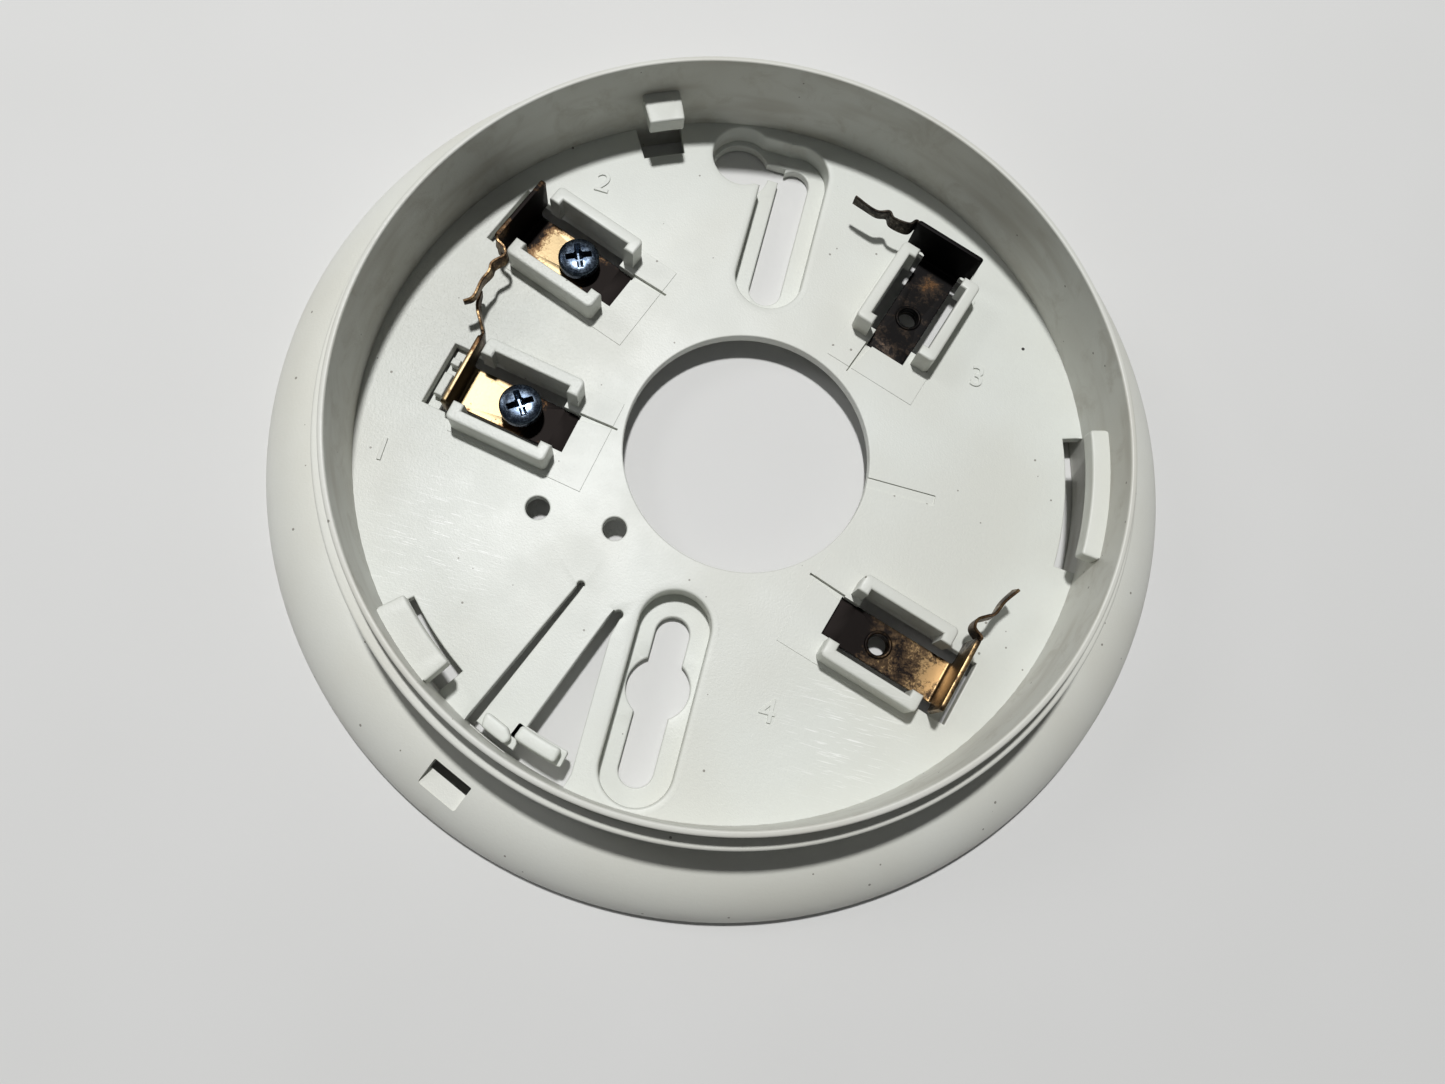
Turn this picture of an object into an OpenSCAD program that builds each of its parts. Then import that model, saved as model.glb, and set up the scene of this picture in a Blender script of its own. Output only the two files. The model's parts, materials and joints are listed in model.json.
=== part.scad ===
// Twist-in mounting base for a ceiling smoke detector: a dished round base with a
// trim ring, screw slots, four contact terminals, bayonet tabs and a locking lever.
// Millimetres. The origin is the centre of the back face, +Z points into the room
// and the two mounting slots lie along Y.

/* [Base] */
// Outer radius of the whole base, at the trim ring's foot
flange_r = 77.5; // [76:0.1:80]
// Inner radius of the upright wall round the socket
wall_ri = 62.6; // [62:0.1:63]
// Thickness of the upright wall
wall_t = 1.0; // [0.8:0.1:1.4]
// Height of the upright wall above the back face
wall_h = 22; // [20:0.5:24]
// Height of the floor plate's top face
plate_top = 5.5; // [5:0.1:6.5]
// Thickness of the floor plate
plate_t = 2; // [1.6:0.1:2.4]

/* [Trim ring] */
// Height of the trim ring's upper edge
ring_top = 18; // [17:0.5:19]
// Width of the trim ring's upper edge
ring_edge_w = 2; // [1.6:0.1:2.4]
// Width of the rounded skirt, from its foot to where it levels off
skirt_w = 11; // [10:0.1:11.4]
// Height of the skirt where it meets the band
skirt_h = 8.3; // [7.8:0.1:9]
// Thickness of the skirt
skirt_t = 1.8; // [1.4:0.1:2.2]
// Direction of the tool window, from +X
tool_angle = -113.7; // [-116:0.1:-112]
// Width of the tool window
tool_w = 7.2; // [6:0.1:8]

/* [Cable entry and slots] */
// Centre of the cable entry, which is off the base's own centre
entry_xy = [2.9, -0.3]; // [-4:0.1:4]
// Radius of the cable entry
entry_r = 21.2; // [20:0.1:22]
// Distance of both mounting slots' centre line from the Y axis
slot_x = -1.3; // [-2:0.1:0]
// Half width of a mounting slot
slot_r = 2.9; // [2.6:0.05:3]
// Length of a mounting slot, end to end
slot_len = 28.4; // [27:0.1:29]
// Distance of each slot's centre from the X axis: lower slot, upper slot
slot_y = [-44.75, 43.15]; // [-46:0.05:46]
// Radius of the screw heads' way into each slot
head_r = 5.3; // [5:0.1:5.6]
// Half width of the recess round each slot
recess_r = 6; // [5.6:0.1:6.4]
// Thickness of the recesses' side walls
recess_wall = 1.2; // [1:0.1:1.5]
// Thickness of the floor round the slots
slot_floor_t = 1.5; // [1.2:0.1:2]

/* [Bayonet tabs] */
// Height of the tabs' top face
tab_top = 14.7; // [13:0.1:16]
// Thickness of the tabs
tab_t = 3; // [2.5:0.1:3.5]

/* [Terminals] */
// Height of the guard walls above the plate
guard_h = 5; // [4:0.1:6]
// Clear width between a terminal's guard walls
guard_gap = 11.7; // [11:0.1:12.4]
// Thickness of a guard wall
guard_t = 2.05; // [1.8:0.05:2.4]
// Thickness of the contact metal
metal_t = 0.8; // [0.6:0.05:1]
// Radius of the tapped hole in each contact
thread_r = 1.75; // [1.7:0.01:1.8]
// Radius of the terminal screws' thread, a running fit in the tapped hole
screw_r = 1.7; // [1.65:0.01:1.7]
// Radius of the terminal screws' heads
head_screw_r = 3.55; // [3.2:0.05:3.8]

/* [Locking lever] */
// Thickness of the lever
lever_t = 1.8; // [1.6:0.1:2]
// Height of the lever's catch above the plate
catch_h = 2.4; // [2:0.1:3]
// Gap between the lever's root and the plate, where the plastic bends
root_gap = 0.15; // [0.1:0.05:0.3]

/* [Hidden] */
$fn = 96;
wall_ro = wall_ri + wall_t;
plate_z = plate_top - plate_t;
ring_ri = wall_ro + 0.05;
ring_ro = ring_ri + ring_edge_w;
edge_r = 0.35;

// Recesses round the slots: lower and upper end of each, and the upper one's way in
lower_end = [-62, -26.7];
upper_end = [26.5, 60.3];
lower_head = [slot_x, -42.6];
upper_head = [-11.5, 54.4];
side_recess = [-11.5, 55.1];
side_recess_r = 5.75;

// Small round holes beside the cable entry
small_holes = [[-28.2, -19.6], [-15.1, -19.6]];
small_hole_r = 2;

// Tool window: a notch down to a ledge, with a slot along the ledge's inner side.
// Inner and outer radius, slot's outer radius, ledge's height and thickness,
// and the height range of the way on to the wall.
tool_r = [69.4, 73.8];
tool_slot_r = 70.9;
ledge_z = 6;
ledge_t = 1.2;
tool_way_z = [3.6, 6.2];

// Terminals: centre of the tapped hole, outward direction, side of the spring finger
term_xy = [[-35.56, -4.08], [-34.16, 25.2], [24.95, 32.7], [32.1, -26.7]];
term_angle = [170, 160, 72, -17];
term_flip = [1, 0, 0, 0];
flag_u = [10.6, 10.8, 11.9, 11.9];
flag_top = [9.9, 12.9, 12.9, 12.9];
strip_z = 3.6;
strip_w = 7.6;
flag_v = [-5.7, 7.6];
bend_r = 1.2;
collar_h = 1.2;
collar_t = 0.75;
window_end = [-9.2, 15.5];
guard_end = [-8.2, 9.4];
pad_h = 0.12;
guard_base = plate_top + pad_h;
cradle_z = 2.2;
cradle_u = [13, 15];
stop_t = 1.5;

// Screws: height of each shank's end and of each head's top
shank_end = 1.2;
screw_top = [9.2, 8];
head_h = 2.2;
dome_r = 9.4;

// Spring fingers: centre line in terminal axes, measured from the flag's side edge
finger_t = 0.5;
finger_path = [
    [[0, 0], [0.5, 0.8], [1.3, 2.0], [2.4, 3.4], [3.4, 5.0], [3.9, 7.0]],
    [[0, 0], [-2.4, 0.5], [-3.2, 1.6], [-2.5, 3.8], [-2.9, 5.2], [-2.9, 7.4], [-3.5, 10.5], [-2.7, 12.0]],
    [[0, 0], [-1.4, 0.7], [-1.9, 3.6], [-1.2, 4.9], [-2.2, 6.6], [-2.3, 9.2], [-2.2, 11.4]],
    [[0, 0], [-1.5, 0.8], [-1.6, 2.2], [-0.4, 3.6], [0.4, 4.6], [0.8, 7.4], [1.8, 10.3]]
];
finger_z = [[6.6, 9.7], [10.0, 12.9], [9.7, 12.9], [9.7, 12.9]];

// Strip gauge: its groove along X, across Y and its depth
gauge_x = [24, 36.2];
gauge_y = [-1, 0.9];
gauge_depth = 0.3;

// Bayonet tabs: inner radius, first and last direction
tab_span = [[57.0, 113.4, 119.6], [59.6, -5.2, 15.7], [58.1, -136.3, -124]];
// Windows under the tabs: inner radius, first and last direction
window_span = [[56.6, 113, 120.5], [59.0, -5.5, 17.3], [57.8, -137.6, -123.3]];

// Locking lever: outline corners of its arm, and the opening round it
lever_root = [[-17.3, -30.2], [-11.6, -32.7]];
lever_side = [[-27.4, -55.3], [-19.7, -54.6]];
foot_span = [57.4, 60.2, -111.4, -102.3];
arm_tip_r = 61.6;
press_h = 1.6;

plastic = "gainsboro";
trim = "whitesmoke";
bronze = "peru";
zinc = "lightsteelblue";

// A block of the ring between two radii, two heights and two directions
module ring_block(r1, r2, z1, z2, a1, a2) {
    rotate([0, 0, a1]) rotate_extrude(angle = a2 - a1, $fn = 180)
        translate([r1, z1]) square([r2 - r1, z2 - z1]);
}

// A round-ended bar along Y, between two end points on one centre line
module stadium(x, y1, y2, r) {
    translate([x - r, y1 + r]) square([2 * r, y2 - y1 - 2 * r]);
    translate([x, y1 + r]) circle(r = r);
    translate([x, y2 - r]) circle(r = r);
}

// Puts its children in the axes of terminal i: X outwards, Y towards the finger
module at_terminal(i) {
    translate([term_xy[i][0], term_xy[i][1], 0]) rotate([0, 0, term_angle[i]])
        mirror([0, term_flip[i], 0]) children();
}

// ---- Mounting slots ----
// Outlines of the two recesses, grown by a wall's thickness for their bosses
module lower_outline(grow) {
    stadium(slot_x, lower_end[0] - grow, lower_end[1] + grow, recess_r + grow);
}
module upper_outline(grow) {
    stadium(slot_x, upper_end[0] - grow, upper_end[1] + grow, recess_r + grow);
    translate(side_recess) circle(r = side_recess_r + grow);
    translate(side_recess - [0, 5 + grow]) square([8, 10 + 2 * grow]);
}
module slot(k) { stadium(slot_x, slot_y[k] - slot_len / 2, slot_y[k] + slot_len / 2, slot_r); }
module lower_slot() {
    slot(0);
    translate(lower_head) circle(r = head_r);
}
module upper_slot() {
    slot(1);
    translate(upper_head) circle(r = head_r);
    translate(upper_head - [0, 0.2]) square([8, 3.1]);
}

module slot_boss_lower() color(plastic) {
    difference() {
        linear_extrude(plate_top) intersection() {
            lower_outline(recess_wall);
            circle(r = wall_ri, $fn = 180);
        }
        translate([0, 0, slot_floor_t]) linear_extrude(plate_top) lower_outline(0);
        translate([0, 0, -1]) linear_extrude(plate_top) lower_slot();
    }
}

module slot_boss_upper() color(plastic) {
    difference() {
        linear_extrude(plate_top) intersection() {
            upper_outline(recess_wall);
            circle(r = wall_ri, $fn = 180);
        }
        translate([0, 0, slot_floor_t]) linear_extrude(plate_top) upper_outline(0);
        translate([0, 0, -1]) linear_extrude(plate_top) upper_slot();
    }
}

// ---- Floor plate ----
module terminal_window() {
    translate([window_end[0], -3.7]) square([4, 7.4]);
    translate([window_end[0] + 3.2, -guard_gap / 2])
        square([window_end[1] - window_end[0] - 3.2, guard_gap]);
}
// Opening round the locking lever: a narrow slot on one side and a wedge on the other
module lever_opening() {
    polygon([[-18.3, -30.2], lever_root[0], lever_root[1], [-10.1, -33.4], [-11.0, -37],
        [-10.9, -59.3], [-12.2, -64], [-31.5, -64], [-29.2, -55.5]]);
    translate([-17.8, -30.1]) circle(r = 0.65, $fn = 32);
    translate([-10.6, -33.2]) circle(r = 0.75, $fn = 32);
}
// Groove that leads a wire in at one guard wall's end; terminal 2 has it at the other wall
module wire_groove(i) {
    mirror([0, i == 1 ? 1 : 0]) polygon([[-8.9, 2.6], [-8.9, 3.95], [-15.8, 4.2], [-15.8, 3.8]]);
}
// Cradle that carries a contact's outer end, and the stops that stand on it
module cradle() {
    translate([cradle_u[0], -guard_gap / 2 - 1, cradle_z])
        cube([cradle_u[1] - cradle_u[0], guard_gap + 2, plate_z - cradle_z + 0.3]);
}
module stops() {
    for (stop = [[-3.6, 4.2], [2.3, 1.2]]) translate([cradle_u[0] + 0.1, stop[0], cradle_z + 0.3])
        cube([stop_t, stop[1], plate_top - cradle_z - 0.3]);
}

module base_plate() color(plastic) {
    difference() {
        union() {
            translate([0, 0, plate_z]) cylinder(r = wall_ri, h = plate_t, $fn = 180);
            // Witness steps of the moulding inserts round the terminals
            for (i = [0:3]) at_terminal(i) translate([-14.9, -8.6, plate_top - 1])
                cube([24.3, 17.2, 1 + pad_h]);
            for (i = [0:3]) at_terminal(i) cradle();
        }
        translate([0, 0, plate_z - 1]) linear_extrude(plate_t + 2) {
            translate(entry_xy) circle(r = entry_r, $fn = 180);
            for (p = small_holes) translate(p) circle(r = small_hole_r);
            lever_opening();
            lower_outline(recess_wall);
            upper_outline(recess_wall);
        }
        for (i = [0:3]) at_terminal(i) translate([0, 0, plate_z - 0.1])
            linear_extrude(plate_t + 1) terminal_window();
        for (w = window_span)
            ring_block(w[0], wall_ri + 1, plate_z - 1, plate_top + 1, w[1], w[2]);
        for (i = [0:3]) at_terminal(i) translate([0, 0, plate_top - 0.6])
            linear_extrude(2) wire_groove(i);
        // Groove that shows how much wire to strip
        translate([gauge_x[0], gauge_y[0], plate_top - gauge_depth])
            cube([gauge_x[1] - gauge_x[0], gauge_y[1] - gauge_y[0], 1]);
    }
    for (i = [0:3]) at_terminal(i) stops();
}

// ---- Wall, trim ring and tabs ----
module rim_wall() color(plastic) {
    difference() {
        rotate_extrude($fn = 180) {
            translate([wall_ri, 0]) square([wall_t, wall_h - edge_r]);
            translate([wall_ri + edge_r, 0]) square([wall_t - 2 * edge_r, wall_h]);
            for (r = [wall_ri + edge_r, wall_ro - edge_r])
                translate([r, wall_h - edge_r]) circle(r = edge_r, $fn = 32);
        }
        tool_block(wall_ri - 1, wall_ro + 1, tool_way_z[0], tool_way_z[1]);
    }
}

// Block across the tool window's direction, between two radii and two heights
module tool_block(r1, r2, z1, z2, w = tool_w) {
    rotate([0, 0, tool_angle]) translate([r1, -w / 2, z1]) cube([r2 - r1, w, z2 - z1]);
}

// Quarter of an ellipse round the skirt's inner end, smaller by t on both half axes
function skirt_curve(t) = [for (a = [0:5:90])
    [flange_r - skirt_w + (skirt_w - t) * cos(a), (skirt_h - t) * sin(a)]];

module ring_section() {
    cove_r = flange_r - skirt_w - ring_ro;
    difference() {
        union() {
            // Upright band
            translate([ring_ri, 0]) square([ring_edge_w - edge_r, ring_top]);
            translate([ring_ri, 0]) square([ring_edge_w, ring_top - edge_r]);
            translate([ring_ro - edge_r, ring_top - edge_r]) circle(r = edge_r, $fn = 32);
            // Skirt, and the block that the cove is cut from
            polygon(concat([[ring_ri, 0]], skirt_curve(0), [[ring_ri, skirt_h]]));
            translate([ring_ri, 0]) square([ring_edge_w + cove_r, skirt_h + cove_r]);
        }
        translate([ring_ro + cove_r, skirt_h + cove_r]) circle(r = cove_r, $fn = 64);
        // Hollow underside
        polygon(concat([[ring_ro, -1], [flange_r - skirt_t, -1]], skirt_curve(skirt_t),
            [[ring_ro, skirt_h - skirt_t]]));
    }
}

module trim_ring() color(trim) {
    difference() {
        union() {
            rotate_extrude($fn = 180) ring_section();
            tool_block(tool_slot_r, tool_r[1] - 0.5, ledge_z - ledge_t, ledge_z, tool_w + 2);
        }
        tool_block(tool_r[0], tool_r[1], ledge_z, ledge_z + skirt_h);
        tool_block(tool_r[0], tool_slot_r, 3, ledge_z + skirt_h);
        tool_block(ring_ri - 1, tool_r[0] + 0.5, tool_way_z[0], tool_way_z[1]);
    }
}

module bayonet_tab(i) color(plastic) {
    t = tab_span[i];
    ring_block(t[0], wall_ri, tab_top - tab_t, tab_top, t[1], t[2]);
}

// ---- Terminals ----
module guard_wall(side) {
    v1 = guard_gap / 2;
    r = 0.9;
    mirror([0, side, 0]) {
        translate([guard_end[0] + r, v1]) square([guard_end[1] - guard_end[0] - 2 * r, guard_t]);
        for (u = guard_end) {
            x = u == guard_end[0] ? u : u - 2;
            translate([x, v1 - 1.2]) square([2, 1.2 + guard_t - r]);
        }
        translate([guard_end[0] + r, v1 + guard_t - r]) circle(r = r, $fn = 32);
        translate([guard_end[1] - r, v1 + guard_t - r]) circle(r = r, $fn = 32);
    }
}

module terminal_guard(i) color(plastic) at_terminal(i) translate([0, 0, guard_base])
    linear_extrude(plate_top + guard_h - guard_base) for (side = [0, 1]) guard_wall(side);

// Outline of a flag, seen along the contact: one upper corner is rounded
module flag_outline(top) {
    corner = 1.4;
    foot = strip_z + bend_r + 1;
    width = flag_v[1] - flag_v[0];
    translate([flag_v[0], foot]) square([width, top - foot - corner]);
    translate([flag_v[0] + corner, foot]) square([width - corner, top - foot]);
    translate([flag_v[0] + corner, top - corner]) circle(r = corner, $fn = 48);
    translate([-strip_w / 2, strip_z + bend_r]) square([strip_w, 1.2]);
}

// Contact: a tongue with a tapped collar, turned up at its outer end into a flag
module contact(i) color(bronze) at_terminal(i) {
    flag = flag_u[i];
    bend_u = flag - bend_r + metal_t;
    difference() {
        union() {
            translate([-9.1, -3.6, strip_z]) cube([3.2, 7.2, metal_t]);
            translate([-6.2, -strip_w / 2, strip_z]) cube([bend_u + 6.2, strip_w, metal_t]);
            translate([0, 0, strip_z - collar_h]) cylinder(r = thread_r + collar_t, h = collar_h + 0.2);
            // Turned-up end
            translate([bend_u, strip_w / 2, strip_z + bend_r]) rotate([90, 0, 0])
                linear_extrude(strip_w) intersection() {
                    difference() {
                        circle(r = bend_r, $fn = 48);
                        circle(r = bend_r - metal_t, $fn = 48);
                    }
                    translate([0, -bend_r]) square(bend_r);
                }
            translate([flag, 0, 0]) rotate([90, 0, 90]) linear_extrude(metal_t) flag_outline(flag_top[i]);
        }
        translate([0, 0, strip_z - collar_h - 1]) cylinder(r = thread_r, h = collar_h + metal_t + 2);
    }
}

// Spring finger: an upright ribbon that follows its path from the flag's side edge
function unit(v) = v / norm(v);
function left_of(d) = [-d[1], d[0]];
// Offset of a ribbon's corner k from its path, for a half width of 1
function corner(p, k) = let (
    into = unit(p[max(k, 1)] - p[max(k, 1) - 1]),
    out = unit(p[min(k + 1, len(p) - 1)] - p[min(k, len(p) - 2)]),
    across = unit(left_of(into) + left_of(out))
) across / (across * left_of(out));
module ribbon(p) {
    last = len(p) - 1;
    polygon(concat(
        [for (k = [0:last]) p[k] + finger_t / 2 * corner(p, k)],
        [for (k = [last:-1:0]) p[k] - finger_t / 2 * corner(p, k)]));
}

module spring_finger(i) color(bronze) at_terminal(i)
    translate([flag_u[i] + metal_t / 2, flag_v[1] + 0.35, finger_z[i][0]])
        linear_extrude(finger_z[i][1] - finger_z[i][0]) ribbon(finger_path[i]);

// Terminal screw: pan head with a cross recess
module terminal_screw(i) color(zinc) at_terminal(i) {
    top = screw_top[i];
    difference() {
        union() {
            translate([0, 0, shank_end]) cylinder(r = screw_r, h = top - head_h - shank_end + 0.5);
            translate([0, 0, top - head_h]) intersection() {
                cylinder(r = head_screw_r, h = head_h);
                translate([0, 0, head_h - dome_r]) sphere(r = dome_r, $fn = 96);
            }
        }
        for (a = [35, 125]) translate([0, 0, top]) rotate([0, 0, a])
            cube([3.9, 0.75, 2.6], center = true);
    }
}

// ---- Locking lever ----
function away(p, q, gap) = p + (q - p) / norm(q - p) * gap;

module lock_lever() color(plastic) {
    root_a = away(lever_root[0], lever_side[0], root_gap);
    root_b = away(lever_root[1], lever_side[1], root_gap);
    translate([0, 0, plate_top - lever_t]) linear_extrude(lever_t) intersection() {
        polygon([root_a, root_b, lever_side[1], [-20.6, -58.2], [-26.6, -57.0], lever_side[0]]);
        circle(r = arm_tip_r, $fn = 180);
    }
    // Raised end block, where the release tool presses
    translate([0, 0, plate_top - 0.5]) linear_extrude(0.5 + press_h) intersection() {
        polygon([[-26.2, -53.2], [-22.2, -54.9], [-21.2, -56.4], [-22.4, -58.2], [-26.2, -56.8]]);
        circle(r = arm_tip_r, $fn = 180);
    }
}

module lever_foot() color(plastic) {
    f = foot_span;
    ring_block(f[0], f[1], plate_top - lever_t, plate_top, f[2], f[3]);
    ring_block(f[0] + 0.2, f[1] - 0.2, plate_top - 0.5, plate_top + catch_h, f[2] + 1, f[3] - 1);
}

base_plate();
slot_boss_lower();
slot_boss_upper();
rim_wall();
trim_ring();
bayonet_tab(0);  // bayonet_tab_1
bayonet_tab(1);  // bayonet_tab_2
bayonet_tab(2);  // bayonet_tab_3
terminal_guard(0);  // terminal_guard_1
terminal_guard(1);  // terminal_guard_2
terminal_guard(2);  // terminal_guard_3
terminal_guard(3);  // terminal_guard_4
contact(0);  // contact_1
contact(1);  // contact_2
contact(2);  // contact_3
contact(3);  // contact_4
spring_finger(0);  // spring_finger_1
spring_finger(1);  // spring_finger_2
spring_finger(2);  // spring_finger_3
spring_finger(3);  // spring_finger_4
terminal_screw(0);  // terminal_screw_1
terminal_screw(1);  // terminal_screw_2
lock_lever();
lever_foot();
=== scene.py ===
"""Looks of a twist-in smoke detector base: moulded plastic, tarnished contacts, screws."""
import json
import math
import bmesh
import bpy
from mathutils import Euler, Matrix, Vector


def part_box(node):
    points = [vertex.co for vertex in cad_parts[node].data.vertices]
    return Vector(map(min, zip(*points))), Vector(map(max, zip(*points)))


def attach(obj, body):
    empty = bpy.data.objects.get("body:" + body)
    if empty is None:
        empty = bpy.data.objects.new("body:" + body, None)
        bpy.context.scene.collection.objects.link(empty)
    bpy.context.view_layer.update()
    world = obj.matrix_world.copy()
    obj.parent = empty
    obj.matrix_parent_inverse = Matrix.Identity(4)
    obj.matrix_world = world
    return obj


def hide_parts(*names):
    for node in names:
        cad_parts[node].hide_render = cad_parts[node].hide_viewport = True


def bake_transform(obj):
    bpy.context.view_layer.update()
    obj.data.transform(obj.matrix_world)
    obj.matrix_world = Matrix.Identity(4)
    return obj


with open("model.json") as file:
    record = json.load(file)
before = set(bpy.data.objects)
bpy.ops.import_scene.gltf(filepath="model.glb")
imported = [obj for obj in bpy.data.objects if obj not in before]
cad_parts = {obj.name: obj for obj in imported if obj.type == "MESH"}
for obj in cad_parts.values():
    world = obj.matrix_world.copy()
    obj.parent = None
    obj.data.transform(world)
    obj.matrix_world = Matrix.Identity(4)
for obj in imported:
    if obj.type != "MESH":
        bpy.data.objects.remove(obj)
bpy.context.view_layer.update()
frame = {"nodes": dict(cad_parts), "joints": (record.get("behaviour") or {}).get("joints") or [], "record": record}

MM = 0.001
BASE = "base"
PLASTIC = "moulded_white"

# ---- Places and sizes that the frame gives, in millimetres ----


def low(node):
    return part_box(node)[0] / MM


def high(node):
    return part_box(node)[1] / MM


plate_top = high("slot_boss_lower").z
plate_t = 2.0
plate_low = plate_top - plate_t
wall_ro = high("rim_wall").x
wall_t = 1.0
wall_ri = wall_ro - wall_t
wall_top = high("rim_wall").z
ring_ri = wall_ro + 0.05
ring_ro = ring_ri + 2.0
ring_top = high("trim_ring").z
flange_r = high("trim_ring").x
pad_top = high("base_plate").z
cradle_low = low("base_plate").z
slot_floor = 1.5
lever_root = [(-17.3, -30.2), (-11.6, -32.7)]
joints = {j["name"]: j for j in frame["joints"]}
mounts = {m["name"]: m for m in frame["record"]["mounts"]}

# Terminals: centre of the tapped hole, outward direction, handedness, flag's place and height
screw_at = [joints["screw_1_turn"]["pos_m"], joints["screw_2_turn"]["pos_m"]]
hole_at = [mounts["terminal_3_hole"]["pos_m"], mounts["terminal_4_hole"]["pos_m"]]
term_at = [Vector(p[:2]) / MM for p in screw_at + hole_at]
term_angle = [170, 160, 72, -17]
term_flip = [True, False, False, False]
flag_u = [10.6, 10.8, 11.9, 11.9]
strip_z = 3.6
metal_t = 0.8
bend_r = 1.2
flag_v = (-5.7, 7.6)
thread_r = 1.75
screw_r = 1.7
head_r = 3.55
head_t = 2.2
recess_turns = (45, 135)
contact_half_w = 3.8
contact_end = -9.1
collar_h = 1.2
thread_pitch = 0.8

# Skirt of the trim ring: width and height of its elliptic quarter, and thickness
skirt_w = 11.0
skirt_h = 8.3
skirt_t = 1.8

# Tool window: direction, width, inner and outer radius, the slot's outer radius and
# foot, the ledge's height, and the height range of the way on to the wall
tool_angle = -113.7
tool_w = 7.2
tool_r = (69.4, 73.8)
tool_slot_r = 70.9
tool_slot_z = 3.0
ledge_z = 6.0
tool_way_z = (3.6, 6.2)

# Strip gauge and wire grooves in the floor plate
gauge = [(24, -1), (36.2, -1), (36.2, 0.9), (24, 0.9)]
gauge_depth = 0.3
groove = [(-8.9, 2.6), (-8.9, 3.95), (-15.8, 4.2), (-15.8, 3.8)]
groove_depth = 0.6
numerals = {"1": (-55.3, -17.1), "2": (-34.4, 41.4), "3": (39.1, 24.5), "4": (16.6, -42.2)}

# Heights at which CAD nodes are cut for their outlines
plate_cut = 4.6
cradle_cut = 2.9
pad_cut = plate_top + 0.06
boss_wall_cut = 3.0
boss_floor_cut = 0.75
guard_cut = 8.0
foot_cut = 4.2

# Moulded edge radii, and the longest straight run between points of a large outline
plate_edge = 0.22
under_edge = 0.12
guard_edge = 0.42
outline_step = 1.6
round_segments = 360

# ---- Mesh building ----


def arc(cx, cz, r, start, end, n=8):
    """Points on an arc, its angles in degrees."""
    angles = [math.radians(start + (end - start) * k / n) for k in range(n + 1)]
    return [(cx + r * math.cos(a), cz + r * math.sin(a)) for a in angles]


def section(node, z):
    """Outlines of a CAD node cut at height z, each a list of (x, y) in millimetres."""
    bm = bmesh.new()
    bm.from_mesh(frame["nodes"][node].data)
    bmesh.ops.remove_doubles(bm, verts=bm.verts, dist=1e-6)
    bmesh.ops.bisect_plane(
        bm, geom=bm.verts[:] + bm.edges[:] + bm.faces[:], plane_co=(0, 0, z * MM),
        plane_no=(0, 0, 1), clear_inner=True, clear_outer=True)
    bmesh.ops.remove_doubles(bm, verts=bm.verts, dist=2e-6)
    loops, left = [], set(bm.verts)
    while left:
        start = left.pop()
        loop, here, came = [start], start, None
        while True:
            nexts = [e for e in here.link_edges if e is not came and e.other_vert(here) in left]
            if not nexts:
                break
            came = nexts[0]
            here = came.other_vert(here)
            left.discard(here)
            loop.append(here)
        if len(loop) > 2:
            loops.append(straightened([(v.co.x / MM, v.co.y / MM) for v in loop]))
    bm.free()
    return loops


def straightened(loop, least=0.2):
    """A loop without the points that lie on a straight run, or closer than 0.02 mm."""
    spaced = [p for k, p in enumerate(loop) if math.dist(p, loop[k - 1]) > 0.02]
    kept = []
    for k, p in enumerate(spaced):
        a, b = Vector(spaced[k - 1]), Vector(spaced[(k + 1) % len(spaced)])
        turn = (Vector(p) - a).angle(b - Vector(p), 0)
        if math.degrees(turn) > least:
            kept.append(p)
    return kept


def area(loop):
    """Area of a loop, positive if it runs anticlockwise."""
    return sum(p[0] * q[1] - q[0] * p[1] for p, q in zip(loop, loop[1:] + loop[:1])) / 2


def inside(p, loop):
    """Is the point p inside the loop?"""
    found = False
    for a, b in zip(loop, loop[1:] + loop[:1]):
        if (a[1] > p[1]) != (b[1] > p[1]):
            if p[0] < a[0] + (p[1] - a[1]) / (b[1] - a[1]) * (b[0] - a[0]):
                found = not found
    return found


def near_outline(p, loops, reach=0.05):
    """Does p lie on one of these outlines?"""
    here = Vector(p)
    for loop in loops:
        for a, b in zip(loop, loop[1:] + loop[:1]):
            a, b = Vector(a), Vector(b)
            t = max(0, min(1, (here - a).dot(b - a) / max((b - a).length_squared, 1e-12)))
            if (a + (b - a) * t - here).length < reach:
                return True
    return False


def rounded(loop, r, steps=4):
    """A loop with its sharp corners rounded to radius r, as far as its sides allow."""
    out = []
    for k, p in enumerate(loop):
        a, p, b = Vector(loop[k - 1]), Vector(p), Vector(loop[(k + 1) % len(loop)])
        turn = (p - a).angle(b - p, 0)
        if math.degrees(turn) < 20:
            out.append(tuple(p))
            continue
        reach = min(r * math.tan(turn / 2), 0.45 * (p - a).length, 0.45 * (b - p).length)
        start, end = p + (a - p).normalized() * reach, p + (b - p).normalized() * reach
        for i in range(steps + 1):
            t = i / steps
            q = start * (1 - t) ** 2 + p * 2 * t * (1 - t) + end * t * t
            out.append(tuple(q))
    return out


def split_long(loop, most):
    """A loop with no side longer than most."""
    out = []
    for a, b in zip(loop, loop[1:] + loop[:1]):
        n = max(1, math.ceil(math.dist(a, b) / most))
        out += [(a[0] + (b[0] - a[0]) * i / n, a[1] + (b[1] - a[1]) * i / n) for i in range(n)]
    return out


def inset_vectors(loop):
    """For each point, the way into the material on the loop's left, for an inset of 1."""
    out = []
    for k, p in enumerate(loop):
        a, p, b = Vector(loop[k - 1]), Vector(p), Vector(loop[(k + 1) % len(loop)])
        d1, d2 = (p - a).normalized(), (b - p).normalized()
        n1, n2 = Vector((-d1.y, d1.x)), Vector((-d2.y, d2.x))
        out.append((n1 + n2) / max(1 + n1.dot(n2), 0.35))
    return out


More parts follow.
